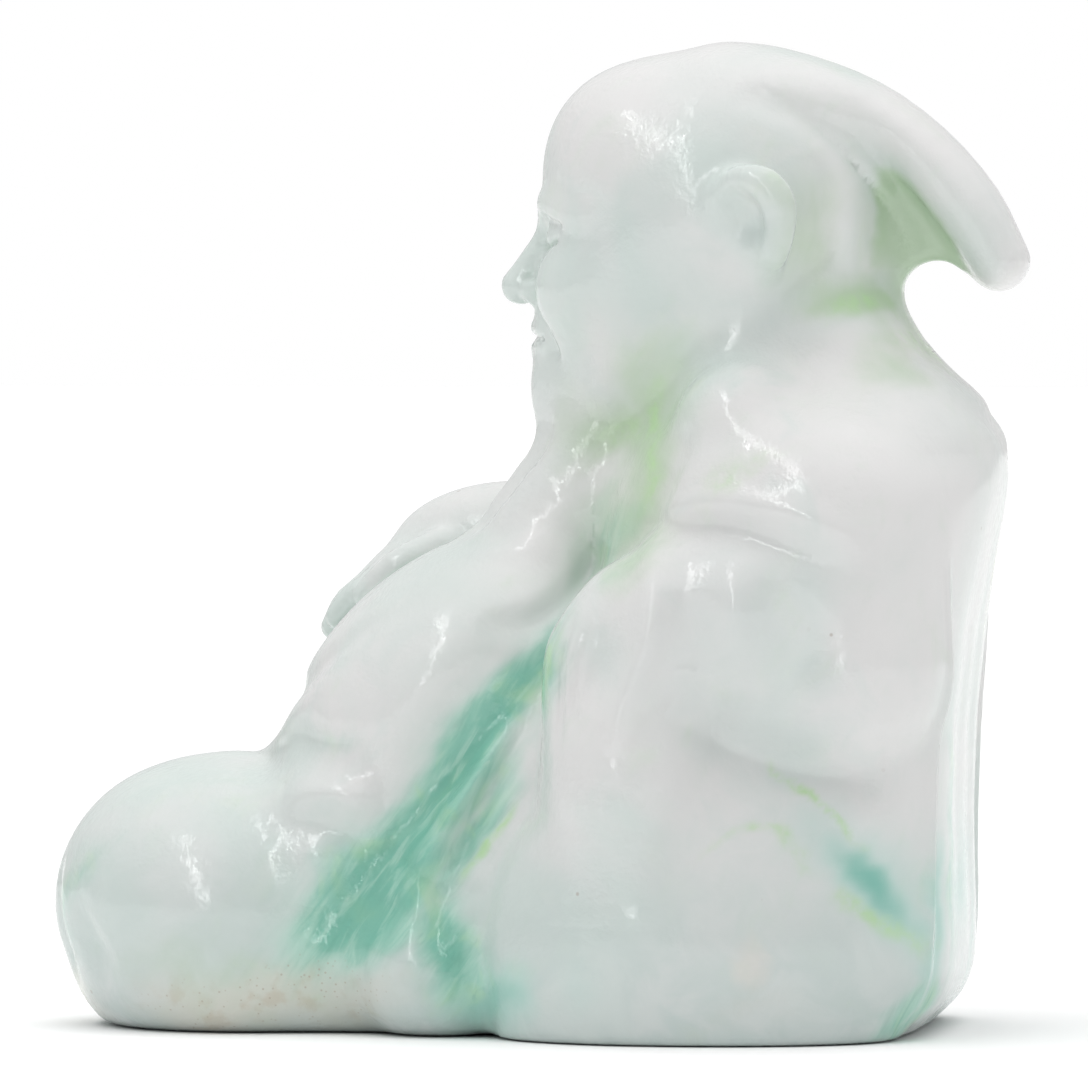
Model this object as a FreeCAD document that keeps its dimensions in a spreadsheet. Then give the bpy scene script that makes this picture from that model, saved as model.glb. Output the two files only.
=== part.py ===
import FreeCAD, Part
import math
import os

import Sketcher
from FreeCAD import Placement, Rotation, Vector

# A robed elder seated cross-legged, carved from one pebble of pale jade.
# The stone is divided along its carved creases into named regions, each a closed
# solid that meets its neighbours face to face.
# Millimetres. +Z up, the face looks along -Y, +X is the figure's own left side,
# and the origin is the middle of the flat underside.

PLINTH = 2.6  # height of the foot of the stone, below the legs and the robe
UNDERCUT = 30.0  # depth of the block that trims everything off at the floor

# A rounded mass: middle x, y, z, half width, half depth, half height,
# and how far it leans about X in degrees (its back end turns up).
MASSES = {
    "lap": (0.0, -5.0, 21.0, 13.4, 13.4, 9.4, 40.0),
    "front": (0.0, -19.85, 7.8, 13.5, 11.5, 9.3, 0.0),
    "hem": (0.0, -19.2, 3.6, 12.4, 11.2, 6.2, 0.0),
    "apron": (0.0, -9.0, 6.8, 14.5, 11.5, 9.2, 0.0),
    "left_thigh": (10.8, 9.0, 6.4, 9.7, 17.6, 11.6, 4.0),
    "left_knee": (10.8, -2.6, 6.8, 8.8, 11.0, 9.2, 0.0),
    "right_thigh": (-10.8, 9.0, 6.4, 9.7, 17.6, 11.4, 4.0),
    "right_knee": (-10.8, -4.0, 12.6, 7.8, 10.6, 13.6, 10.0),
    "left_shoulder": (11.4, 18.4, 31.0, 7.4, 10.2, 10.6, 14.0),
    "left_elbow": (12.9, 13.4, 23.3, 7.0, 13.6, 8.4, -8.0),
    "left_cuff": (13.0, 6.8, 18.6, 6.2, 6.9, 10.6, -10.0),
    "right_shoulder": (-11.4, 17.4, 31.6, 7.2, 9.8, 10.0, 14.0),
    "right_elbow": (-12.6, 8.6, 27.2, 6.6, 12.6, 7.4, -6.0),
    "right_cuff": (-10.8, -4.6, 29.6, 5.4, 7.6, 5.6, 8.0),
    "right_palm": (-10.0, -10.8, 29.7, 3.9, 4.8, 2.8, 34.0),
    "skull": (0.0, 11.8, 51.6, 10.2, 11.2, 11.4, 0.0),
    "face": (0.0, 6.6, 47.4, 8.0, 7.4, 8.6, 0.0),
    "nose": (0.0, -0.4, 48.0, 1.3, 1.5, 2.4, -8.0),
    "neck": (0.0, 14.0, 43.5, 7.6, 8.4, 6.4, 0.0),
    "beard_fall": (0.0, 1.9, 33.0, 6.2, 4.7, 10.4, -24.0),
    "left_ear_lobe": (9.8, 14.9, 51.9, 2.0, 2.5, 4.1, 6.0),
    "left_ear_bowl": (11.8, 14.5, 52.3, 1.2, 1.4, 2.5, 6.0),
    "right_ear_lobe": (-9.8, 14.9, 51.9, 2.0, 2.5, 4.1, 6.0),
    "right_ear_bowl": (-11.8, 14.5, 52.3, 1.2, 1.4, 2.5, 6.0),
}

# Slices of the robed back, from the floor up: height, half width, front, back.
TORSO = (
    (0.0, 14.2, -5.0, 25.8),
    (6.0, 15.4, -5.0, 27.4),
    (18.0, 15.8, -1.5, 28.2),
    (28.0, 15.4, 1.6, 29.2),
    (36.0, 14.2, 3.6, 29.9),
    (40.0, 11.8, 5.8, 28.6),
    (43.2, 8.6, 8.5, 24.9),
    (45.6, 6.0, 10.5, 22.0),
)
TORSO_CORNER = 0.72  # corner radius of a slice as a share of its half width

# The tail of the cap runs on an arc behind the head: turn from +Y, half width,
# half thickness.
TAIL_ARC = {"tail_mid_y": 13.0, "tail_mid_z": 41.75, "tail_radius": 17.8}
TAIL = (
    (102.0, 3.4, 2.8),
    (84.0, 4.4, 3.1),
    (64.0, 4.4, 3.0),
    (46.0, 3.9, 2.7),
    (32.0, 3.4, 2.5),
    (24.0, 2.9, 2.2),
    (19.0, 1.9, 1.4),
)
TAIL_CORNER = 0.92  # corner radius of a slice as a share of its half thickness

# The thin wall left between the tail and the nape: y and z of its corners.
WEB = {
    "web_skull_y": 17.5,
    "web_top_z": 57.4,
    "web_tip_y": 27.4,
    "web_tip_z": 50.0,
    "web_foot_z": 44.6,
    "web_thick": 3.4,
    "hook_y": 25.3,
    "hook_z": 46.3,
    "hook_radius": 2.9,
}

# Fingers that hang over the edge of the right knee.
FINGERS = {
    "finger_count": 4,
    "finger_step": 1.5,
    "finger_x": -12.3,
    "finger_y": -13.9,
    "finger_z": 27.8,
    "finger_round": 0.95,
    "finger_half": 3.1,
    "finger_lean": 52.0,
}

doc = FreeCAD.newDocument("Figurine")
sheet = doc.addObject("Spreadsheet::Sheet", "Sizes")


def write_cells(values):
    """Each value goes into the sheet as a plain number with an alias."""
    for alias, value in values.items():
        row = write_cells.row = getattr(write_cells, "row", 0) + 1
        sheet.set(f"A{row}", alias)
        sheet.set(f"B{row}", str(value))
        sheet.setAlias(f"B{row}", alias)


def cells_of(prefix, keys, values):
    """The dictionary {prefix_key: value} of one row of a table."""
    return {f"{prefix}_{key}": value for key, value in zip(keys, values)}


def fill_sheet():
    write_cells({"plinth": PLINTH, "undercut": UNDERCUT})
    write_cells({"torso_corner": TORSO_CORNER, "tail_corner": TAIL_CORNER})
    mass_keys = ("x", "y", "z", "wide", "deep", "high", "lean")
    for name, row in MASSES.items():
        write_cells(cells_of(name, mass_keys, row))
    for i, row in enumerate(TORSO):
        write_cells(cells_of(f"torso{i}", ("level", "wide", "front", "back"), row))
    for i, row in enumerate(TAIL):
        write_cells(cells_of(f"tail{i}", ("turn", "wide", "thick"), row))
    for table in (TAIL_ARC, WEB, FINGERS):
        write_cells(table)
    doc.recompute()


def bind(item, **expressions):
    """Binds properties of an object to cells. Two underscores stand for a dot."""
    for path, expression in expressions.items():
        item.setExpression(path.replace("__", "."), expression)


def mass(name):
    """One rounded mass, an ellipsoid whose sizes and place are in the sheet."""
    item = doc.addObject("Part::Ellipsoid", name)
    item.Placement.Rotation = Rotation(Vector(1, 0, 0), MASSES[name][-1] or 1.0)
    bind(
        item,
        Radius1=f"Sizes.{name}_high",
        Radius2=f"Sizes.{name}_wide",
        Radius3=f"Sizes.{name}_deep",
        Placement__Base__x=f"Sizes.{name}_x",
        Placement__Base__y=f"Sizes.{name}_y",
        Placement__Base__z=f"Sizes.{name}_z",
        Placement__Rotation__Angle=f"Sizes.{name}_lean * 1 deg",
    )
    return item


def fuse(name, parts):
    item = doc.addObject("Part::MultiFuse", name)
    item.Shapes = parts
    return item


def cut(name, base, tools):
    """base with every tool taken away, one after the other."""
    for i, tool in enumerate(tools):
        item = doc.addObject("Part::Cut", f"{name}_cut{i}")
        item.Base = base
        item.Tool = tool
        base = item
    return base


def origin_plane(body, role):
    return next(f for f in body.Origin.OriginFeatures if f.Role == role)


def rounded_section(body, name, wide, deep, corner):
    """A sketch of a rounded rectangle about its own middle. wide and deep are halves."""
    sketch = body.newObject("Sketcher::SketchObject", name)
    sketch.AttachmentSupport = [(origin_plane(body, "XY_Plane"), "")]
    sketch.MapMode = "FlatFace"
    w, d, r = wide[1], deep[1], corner[1]
    axis = Vector(0, 0, 1)
    corners = ((w - r, r - d), (w - r, d - r), (r - w, d - r), (r - w, r - d))
    sides = (
        ((r - w, -d), (w - r, -d)),
        ((w, r - d), (w, d - r)),
        ((w - r, d), (r - w, d)),
        ((-w, d - r), (-w, r - d)),
    )
    for i, (side, middle) in enumerate(zip(sides, corners)):
        start, end = (Vector(*point, 0) for point in side)
        sketch.addGeometry(Part.LineSegment(start, end))
        circle = Part.Circle(Vector(*middle, 0), axis, r)
        turn = math.radians(90 * (i - 1))
        sketch.addGeometry(Part.ArcOfCircle(circle, turn, turn + math.radians(90)))
    joins = [("Tangent", i, 2, (i + 1) % 8, 1) for i in range(8)]
    level = [("Horizontal", 0), ("Horizontal", 4), ("Vertical", 2), ("Vertical", 6)]
    equal = [("Equal", 1, 3), ("Equal", 1, 5), ("Equal", 1, 7)]
    for constraint in joins + level + equal:
        sketch.addConstraint(Sketcher.Constraint(*constraint))
    driven = (
        ("corner", ("Radius", 1), corner),
        ("right", ("DistanceX", -1, 1, 2, 1), wide),
        ("left", ("DistanceX", 6, 1, -1, 1), wide),
        ("back", ("DistanceY", -1, 1, 4, 1), deep),
        ("front", ("DistanceY", 0, 1, -1, 1), deep),
    )
    for label, what, (expression, value) in driven:
        index = sketch.addConstraint(Sketcher.Constraint(*what, value))
        sketch.renameConstraint(index, label)
        sketch.setExpression(f"Constraints.{label}", expression)
    return sketch


def loft(body, name, sections):
    item = body.newObject("PartDesign::AdditiveLoft", name)
    item.Profile = sections[0]
    item.Sections = sections[1:]
    item.Ruled = False
    return body


def torso_blank():
    """The robed back from the floor to the nape, lofted through level slices."""
    body = doc.addObject("PartDesign::Body", "torso_body")
    sections = []
    for i, (_, wide, front, back) in enumerate(TORSO):
        cell = f"Sizes.torso{i}"
        section = rounded_section(
            body,
            f"torso_slice{i}",
            (f"{cell}_wide * 1 mm", wide),
            (f"({cell}_back - {cell}_front) / 2 * 1 mm", (back - front) / 2),
            (f"{cell}_wide * Sizes.torso_corner * 1 mm", wide * TORSO_CORNER),
        )
        bind(
            section,
            AttachmentOffset__Base__y=f"({cell}_back + {cell}_front) / 2",
            AttachmentOffset__Base__z=f"{cell}_level",
        )
        sections.append(section)
    return loft(body, "torso_loft", sections)


def tail_blank():
    """The tail of the cap, lofted through slices square to its arc."""
    body = doc.addObject("PartDesign::Body", "tail_body")
    sections = []
    for i, (turn, wide, thick) in enumerate(TAIL):
        cell = f"Sizes.tail{i}"
        section = rounded_section(
            body,
            f"tail_slice{i}",
            (f"{cell}_wide * 1 mm", wide),
            (f"{cell}_thick * 1 mm", thick),
            (f"{cell}_thick * Sizes.tail_corner * 1 mm", thick * TAIL_CORNER),
        )
        section.AttachmentOffset = Placement(Vector(), Rotation(Vector(1, 0, 0), turn))
        along = f"{cell}_turn * 1 deg"
        bind(
            section,
            AttachmentOffset__Base__y=f"Sizes.tail_mid_y + Sizes.tail_radius * cos({along})",
            AttachmentOffset__Base__z=f"Sizes.tail_mid_z + Sizes.tail_radius * sin({along})",
            AttachmentOffset__Rotation__Angle=along,
        )
        sections.append(section)
    return loft(body, "tail_loft", sections)


def web_blank():
    """The thin wall between tail and nape, with the round hook cut out under it."""
    body = doc.addObject("PartDesign::Body", "web_body")
    sketch = body.newObject("Sketcher::SketchObject", "web_outline")
    sketch.AttachmentSupport = [(origin_plane(body, "YZ_Plane"), "")]
    sketch.MapMode = "FlatFace"
    corners = (
        ("web_skull_y", "web_foot_z"),
        ("web_tip_y", "web_foot_z"),
        ("web_tip_y", "web_tip_z"),
        ("web_skull_y", "web_top_z"),
    )
    points = [Vector(WEB[y], WEB[z], 0) for y, z in corners]
    for start, end in zip(points, points[1:] + points[:1]):
        sketch.addGeometry(Part.LineSegment(start, end))
    for i, (y, z) in enumerate(corners):
        joined = Sketcher.Constraint("Coincident", i, 2, (i + 1) % 4, 1)
        sketch.addConstraint(joined)
        for kind, alias in (("DistanceX", y), ("DistanceY", z)):
            where = Sketcher.Constraint(kind, -1, 1, i, 1, WEB[alias])
            label = f"{kind}{i}"
            sketch.renameConstraint(sketch.addConstraint(where), label)
            sketch.setExpression(f"Constraints.{label}", f"Sizes.{alias} * 1 mm")
    pad = body.newObject("PartDesign::Pad", "web_pad")
    pad.Profile = sketch
    pad.Midplane = True
    pad.setExpression("Length", "Sizes.web_thick")
    hook = doc.addObject("Part::Cylinder", "hook")
    hook.Placement.Rotation = Rotation(Vector(0, 1, 0), 90)
    bind(
        hook,
        Radius="Sizes.hook_radius",
        Height="Sizes.web_thick * 2",
        Placement__Base__x="-Sizes.web_thick",
        Placement__Base__y="Sizes.hook_y",
        Placement__Base__z="Sizes.hook_z",
    )
    return cut("web", body, [hook])


def hand_blank():
    """The palm and four fingers that hang over the right knee."""
    fingers = []
    for i in range(FINGERS["finger_count"]):
        finger = doc.addObject("Part::Ellipsoid", f"finger{i}")
        finger.Placement.Rotation = Rotation(Vector(1, 0, 0), FINGERS["finger_lean"])
        bind(
            finger,
            Radius1="Sizes.finger_round",
            Radius2="Sizes.finger_round",
            Radius3="Sizes.finger_half",
            Placement__Base__x=f"Sizes.finger_x + {i} * Sizes.finger_step",
            Placement__Base__y="Sizes.finger_y",
            Placement__Base__z="Sizes.finger_z",
            Placement__Rotation__Angle="Sizes.finger_lean * 1 deg",
        )
        fingers.append(finger)
    return fuse("hand_fuse", [mass("right_palm"), *fingers])


def slab(name, low, high):
    """A block far wider than the figure, between two levels given as expressions."""
    item = doc.addObject("Part::Box", name)
    span = 4 * UNDERCUT
    item.Length = item.Width = span
    item.Placement.Base = Vector(-span / 2, -span / 2, 0)
    bind(item, Height=f"{high} - ({low})", Placement__Base__z=low)
    return item


def foot_of(name, blanks):
    """What lies between the floor and the top of the plinth."""
    layer = slab("foot_slab", "0", "Sizes.plinth")
    slices = []
    for blank in blanks:
        item = doc.addObject("Part::Common", f"foot_{blank.Name}")
        item.Base = blank
        item.Tool = layer
        slices.append(item)
    return fuse(name, slices)


def build():
    """{node name: its object}, one closed solid each."""
    fill_sheet()
    torso = torso_blank()
    lap = mass("lap")
    front = fuse("front_fuse", [mass("front"), mass("hem"), mass("apron")])
    left_leg = fuse("left_leg_fuse", [mass("left_thigh"), mass("left_knee")])
    right_leg = fuse("right_leg_fuse", [mass("right_thigh"), mass("right_knee")])
    under = slab("under", "-Sizes.undercut", "Sizes.plinth")
    left_arm = [mass(f"left_{part}") for part in ("shoulder", "elbow", "cuff")]
    right_arm = [mass(f"right_{part}") for part in ("shoulder", "elbow", "cuff")]
    head = fuse("head_fuse", [mass(part) for part in ("skull", "face", "nose", "neck")])
    tail = fuse("tail_fuse", [tail_blank(), web_blank()])

    nodes = {"base": foot_of("foot", [torso, left_leg, right_leg, front])}
    nodes["torso"] = cut("torso", torso, [under])
    nodes["lap"] = cut("lap", lap, [nodes["torso"]])
    for side, leg in (("left", left_leg), ("right", right_leg)):
        tools = [under, nodes["torso"], nodes["lap"]]
        nodes[f"{side}_leg"] = cut(f"{side}_leg", leg, tools)
    legs = [nodes["left_leg"], nodes["right_leg"]]
    nodes["front_robe"] = cut(
        "front_robe", front, [under, nodes["torso"], nodes["lap"], *legs]
    )
    for side, arm, leg in (("left", left_arm, legs[0]), ("right", right_arm, legs[1])):
        blank = fuse(f"{side}_sleeve_fuse", arm)
        tools = [nodes["torso"], nodes["lap"], leg]
        nodes[f"{side}_sleeve"] = cut(f"{side}_sleeve", blank, tools)
    nodes["head"] = cut("head", head, [nodes["torso"]])
    chest = [nodes["lap"], nodes["head"], nodes["torso"]]
    nodes["beard"] = cut("beard", mass("beard_fall"), chest)
    nodes["cap_tail"] = cut("cap_tail", tail, [nodes["head"], nodes["torso"]])
    for side in ("left", "right"):
        ear = cut(f"{side}_ear_lobe", mass(f"{side}_ear_lobe"), [mass(f"{side}_ear_bowl")])
        nodes[f"{side}_ear"] = cut(f"{side}_ear", ear, [nodes["head"]])
    nodes["right_hand"] = cut(
        "right_hand", hand_blank(), [nodes["right_sleeve"], nodes["lap"], legs[1]]
    )
    return nodes


def export(nodes):
    """Checks every object and every node, then writes parts/NODE.step."""
    doc.recompute()
    failed = [o.Name for o in doc.Objects if {"Invalid", "Error"} & set(o.State)]
    if failed:
        raise RuntimeError(f"these objects failed: {failed}")
    os.makedirs("parts", exist_ok=True)
    for name, item in nodes.items():
        item.Label = name
        shape = item.Shape
        if shape.isNull() or not shape.isValid():
            raise RuntimeError(f"{name} has no valid shape")
        print(f"{name}: {len(shape.Solids)} solid, {shape.Volume:.1f} mm3")
        shape.exportStep(f"parts/{name}.step")


export(build())
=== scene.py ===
import math
from concurrent.futures import ThreadPoolExecutor

import bpy
import numpy as np
from mathutils import Matrix, Vector


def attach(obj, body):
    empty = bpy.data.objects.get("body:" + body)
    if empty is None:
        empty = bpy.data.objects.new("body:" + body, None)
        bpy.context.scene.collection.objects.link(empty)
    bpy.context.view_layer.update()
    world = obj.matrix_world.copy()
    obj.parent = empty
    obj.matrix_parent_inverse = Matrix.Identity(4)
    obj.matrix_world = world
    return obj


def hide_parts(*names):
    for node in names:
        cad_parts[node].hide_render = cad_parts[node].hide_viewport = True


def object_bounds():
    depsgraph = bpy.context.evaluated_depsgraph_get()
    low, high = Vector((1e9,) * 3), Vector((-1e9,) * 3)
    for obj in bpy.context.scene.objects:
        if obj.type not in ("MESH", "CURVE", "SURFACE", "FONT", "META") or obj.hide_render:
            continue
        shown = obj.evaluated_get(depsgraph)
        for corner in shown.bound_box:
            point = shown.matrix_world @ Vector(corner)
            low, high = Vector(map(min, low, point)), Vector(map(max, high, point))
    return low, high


# The looks of a small jade carving. The stone is sculpted as a distance field in
# "figure millimetres": origin at the middle of the underside, one unit per
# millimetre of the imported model, x to the figure's left, y to its back, z up. Each
# region of the stone is then meshed as a closed piece that meets its neighbours
# face to face, so the skin runs on across the seams.

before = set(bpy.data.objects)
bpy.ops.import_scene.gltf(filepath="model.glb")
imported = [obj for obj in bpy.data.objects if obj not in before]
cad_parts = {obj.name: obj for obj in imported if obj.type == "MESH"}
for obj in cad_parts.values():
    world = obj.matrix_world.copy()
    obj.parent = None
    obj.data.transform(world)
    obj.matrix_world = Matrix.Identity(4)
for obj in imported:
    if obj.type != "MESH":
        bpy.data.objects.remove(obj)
cad_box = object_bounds()

MM = 0.001  # a millimetre, in metres
PER_METRE = 1000.0  # millimetres in a metre
FIGURE_HEIGHT = 63.0
low, high = (np.array(corner) * PER_METRE for corner in cad_box)
UNIT = (high[2] - low[2]) / FIGURE_HEIGHT
ORIGIN = np.array([(low[0] + high[0]) / 2, (low[1] + high[1]) / 2, low[2]])
STEP = 0.36  # spacing of the sculpting grid
FAR = 8.0  # stands for the distance of a region that is well away
STROKE_REACH = 2.6  # widths from a stroke's middle to where nothing of it is left

# ---------------------------------------------------------------- distance field


def blend_min(a, b, k):
    """Union of two solids with a fillet about k wide."""
    h = np.clip(0.5 + 0.5 * (b - a) / k, 0.0, 1.0)
    return b + (a - b) * h - k * h * (1.0 - h)


def blend_max(a, b, k):
    return -blend_min(-a, -b, k)


def ellipsoid(p, centre, radii, lean=0.0, turn=0.0):
    """lean turns the back end up, turn swings the front end to the figure's left."""
    x, y, z = (p[:, i] - np.float32(centre[i]) for i in range(3))
    if turn:
        c, s = math.cos(math.radians(turn)), math.sin(math.radians(turn))
        x, y = c * x + s * y, c * y - s * x
    if lean:
        c, s = math.cos(math.radians(lean)), math.sin(math.radians(lean))
        y, z = c * y + s * z, c * z - s * y
    a, b, c = radii
    inner = np.sqrt((x / a) ** 2 + (y / b) ** 2 + (z / c) ** 2)
    slope = np.sqrt((x / a**2) ** 2 + (y / b**2) ** 2 + (z / c**2) ** 2)
    return inner * (inner - 1.0) / np.maximum(slope, 1e-4)


def curve(points, count=3):
    """A smooth curve through the points, count runs to each stretch of it."""
    points = [np.array(q, float) for q in points]
    ends = [2 * points[0] - points[1], *points, 2 * points[-1] - points[-2]]
    path = []
    for a, b, c, d in zip(ends, ends[1:], ends[2:], ends[3:]):
        for t in np.arange(count) / count:
            path.append(
                0.5 * (2 * b + (c - a) * t + (2 * a - 5 * b + 4 * c - d) * t**2
                       + (3 * b - a - 3 * c + d) * t**3)
            )
    return path + [points[-1]]


def limb(p, path, radii, wide=1.0, count=1):
    """A tapered round limb along a path. wide stretches its section sideways."""
    if count > 1:
        bent = curve([(*q, r) for q, r in zip(path, radii)], count)
        path, radii = [q[:3] for q in bent], [q[3] for q in bent]
    best = None
    for a, b, ra, rb in zip(path, path[1:], radii, radii[1:]):
        a, b = np.array(a, np.float32), np.array(b, np.float32)
        run = b - a
        run[0] /= wide
        x = (p[:, 0] - a[0]) / np.float32(wide)
        y, z = p[:, 1] - a[1], p[:, 2] - a[2]
        length = np.float32(run @ run)
        t = np.clip((x * run[0] + y * run[1] + z * run[2]) / length, 0.0, 1.0)
        d = np.sqrt((x - t * run[0]) ** 2 + (y - t * run[1]) ** 2 + (z - t * run[2]) ** 2)
        d = d - (ra + (rb - ra) * t)
        best = d if best is None else np.minimum(best, d)
    return best


def from_line(u, v, path):
    """Distance in a plane from a broken line, and how far along it, from 0 to 1."""
    best = along = None
    runs = [math.dist(a, b) for a, b in zip(path, path[1:])]
    total, gone = sum(runs), 0.0
    for (a, b), run in zip(zip(path, path[1:]), runs):
        du, dv = (b[0] - a[0]) / run, (b[1] - a[1]) / run
        t = np.clip((u - a[0]) * du + (v - a[1]) * dv, 0.0, run)
        d = np.hypot(u - a[0] - t * du, v - a[1] - t * dv)
        s = (gone + t) / total
        if best is None:
            best, along = d, s
        else:
            closer = d < best
            best, along = np.where(closer, d, best), np.where(closer, s, along)
        gone += run
    return best, along


def stroke(u, v, path, width):
    """How much a stroke along a path covers each point: 1 along its middle, less at its ends."""
    path = curve(path, 3)
    corner, other = np.min(path, 0) - STROKE_REACH * width, np.max(path, 0) + STROKE_REACH * width
    cover = np.zeros(len(u), np.float32)
    near = np.nonzero((u > corner[0]) & (u < other[0]) & (v > corner[1]) & (v < other[1]))[0]
    if len(near):
        d, s = from_line(u[near], v[near], path)
        fade = np.sin(np.pi * np.clip(s, 0.02, 0.98)) ** 0.8
        cover[near] = np.exp(-((d / width) ** 2)) * fade
    return cover


def where_near(p, near, field):
    """A field worked out only at the points that are near its region."""
    d = np.full(len(p), FAR, np.float32)
    if near.any():
        d[near] = field(p[near])
    return d


def folded(p):
    """The points, with those on the figure's right mirrored onto its left."""
    return np.stack([np.abs(p[:, 0]), p[:, 1], p[:, 2]], 1)


def profile(levels, values):
    """A smooth curve through a few values given at a few heights."""
    z = np.arange(-6.0, 72.0, 0.25)
    v = np.interp(z, levels, values)
    window = np.hanning(15)[1:-1]
    v = np.convolve(np.pad(v, 6, "edge"), window / window.sum(), "valid")
    return lambda q: np.interp(q, z, v).astype(np.float32)


# ------------------------------------------------------------------- the figure

# Height of each slice of the robed body, its half width, its front and its back.
BODY = (
    (0.0, 15.0, -5.0, 24.2),
    (1.6, 15.8, -5.0, 26.3),
    (3.8, 16.6, -5.0, 27.2),
    (8.0, 17.0, -4.0, 27.3),
    (14.0, 17.2, -2.5, 27.2),
    (20.0, 17.0, 0.0, 27.4),
    (26.0, 16.6, 2.4, 28.0),
    (31.0, 16.0, 3.6, 28.9),
    (35.0, 15.0, 4.4, 29.7),
    (38.0, 13.2, 5.4, 29.7),
    (40.2, 11.4, 7.2, 28.6),
    (42.0, 9.8, 7.8, 26.4),
    (43.6, 8.6, 8.4, 24.6),
    (45.4, 7.8, 9.0, 23.3),
    (48.0, 7.2, 10.0, 22.6),
)
NECK_TOP = 47.0
# The skull ends at the nape in an arc, and under the cap's tail in a straight edge, both
# seen from the side: the arc's middle and radius, and the edge's direction and distance.
NAPE_MIDDLE, NAPE_RADIUS = (10.8, 49.7), 11.25
TAIL_EDGE, TAIL_EDGE_AWAY = (0.663, 0.748), 54.9
# The thin wall under the tail: half its thickness, and the middle and radius of its rim.
WALL_HALF, WALL_MIDDLE, WALL_RADIUS = 1.1, (13.0, 41.75), 17.2
FOOT_EDGE = 0.6  # how far the edge of the underside is rounded
TAIL_CLAIM = 0.6  # regions are shared out as if the cap's tail were this much thicker
body_wide, body_front, body_back = (
    profile([row[0] for row in BODY], [row[i] for row in BODY]) for i in (1, 2, 3)
)

# Carving strokes: path, width and height, a ridge if the height is positive, else a
# groove. On the left and right sides the paths run in y and z.
LEFT_STROKES = (
    (((8.6, 33.2), (12.6, 34.1), (16.2, 34.0), (20.0, 33.0), (24.0, 31.4)), 0.95, 0.42),
    (((9.0, 32.4), (13.2, 32.5), (16.4, 31.7), (20.0, 30.2), (23.0, 28.4)), 1.0, -0.42),
    (((10.2, 21.0), (13.8, 18.8), (16.4, 17.8), (19.6, 17.0), (24.0, 16.5)), 1.5, -0.65),
    (((13.6, 21.6), (17.0, 20.2), (21.0, 19.6)), 2.0, 0.45),
    (((9.0, 33.0), (9.5, 29.0), (9.3, 25.4), (7.8, 21.6), (6.8, 18.0)), 1.15, 0.95),
    (((6.5, 29.0), (6.4, 25.0), (4.8, 21.0)), 1.4, -0.6),
    (((12.2, 28.8), (12.3, 25.6), (12.0, 23.4)), 1.5, -0.75),
    (((14.9, 31.2), (14.8, 24.6)), 1.3, 0.55),
    (((18.8, 29.6), (19.2, 25.4), (20.4, 21.0)), 2.4, -0.5),
    (((4.5, 27.4), (3.7, 24.6), (3.6, 21.4), (3.6, 18.4)), 0.3, -0.3),
    (((5.4, 26.4), (4.6, 23.4), (4.5, 19.6)), 0.32, -0.22),
    (((14.2, 41.6), (17.8, 40.4), (22.0, 40.2)), 1.5, -0.4),
)
# Strokes of the lap, the front robe and the leg, on the left side.
LOWER_STROKES = (
    (((1.6, 21.0), (-1.0, 16.8), (-3.0, 12.6), (-4.6, 8.6), (-5.2, 4.6)), 0.95, -1.1),
    (((0.2, 20.4), (-2.4, 16.8), (-5.0, 12.6), (-7.2, 9.2)), 0.8, 0.8),
    (((-15.6, 15.4), (-12.0, 15.5), (-8.6, 14.6)), 1.0, 0.6),
    (((-16.4, 13.2), (-12.4, 13.2), (-9.2, 12.2)), 1.1, -0.5),
    (((-15.8, 19.8), (-13.4, 18.4), (-10.4, 18.2)), 1.2, -0.5),
)
RIGHT_STROKES = (
    (((6.2, 33.4), (10.2, 34.2), (15.0, 33.6), (20.0, 32.0)), 1.1, 0.8),
    (((6.8, 31.4), (11.0, 32.0), (15.6, 31.2), (20.6, 29.8)), 1.1, -0.8),
    (((0.6, 20.6), (6.0, 19.8), (13.0, 18.8), (24.0, 17.8)), 1.6, -1.1),
    (((1.6, 30.0), (2.0, 26.6), (1.2, 22.8)), 0.9, 0.7),
    (((4.2, 29.6), (5.0, 25.8), (4.6, 22.4)), 1.0, -0.8),
    (((8.6, 29.4), (9.8, 25.2), (9.6, 21.8)), 1.3, 0.7),
    (((13.0, 29.0), (14.6, 24.8), (14.8, 21.4)), 1.4, -0.8),
    (((18.6, 28.0), (20.4, 24.0), (20.8, 20.6)), 1.7, 0.6),
    (((-11.0, 14.0), (-4.0, 12.0), (4.0, 10.6), (14.0, 10.2)), 1.6, -0.8),
    (((-12.6, 19.6), (-8.0, 17.6), (-2.0, 16.2)), 1.1, -0.6),
)
# Strokes of the back, the right half of each pair first, in x and z.
BACK_STROKES = (
    (((-12.2, 31.0), (-12.7, 24.0), (-12.8, 13.0), (-12.2, 2.0)), 0.6, 0.5),
    (((12.2, 31.0), (12.7, 24.0), (12.8, 13.0), (12.2, 2.0)), 0.6, 0.5),
    (((-7.0, 33.0), (-8.4, 20.0), (-8.8, 5.0)), 2.0, -0.22),
    (((-1.8, 30.0), (-2.6, 18.0), (-3.6, 4.0)), 2.2, -0.2),
    (((4.0, 31.0), (4.6, 18.0), (4.0, 5.0)), 2.4, -0.14),
    (((-9.0, 40.6), (0.0, 38.8), (9.0, 40.6)), 1.0, -0.4),
)
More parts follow.
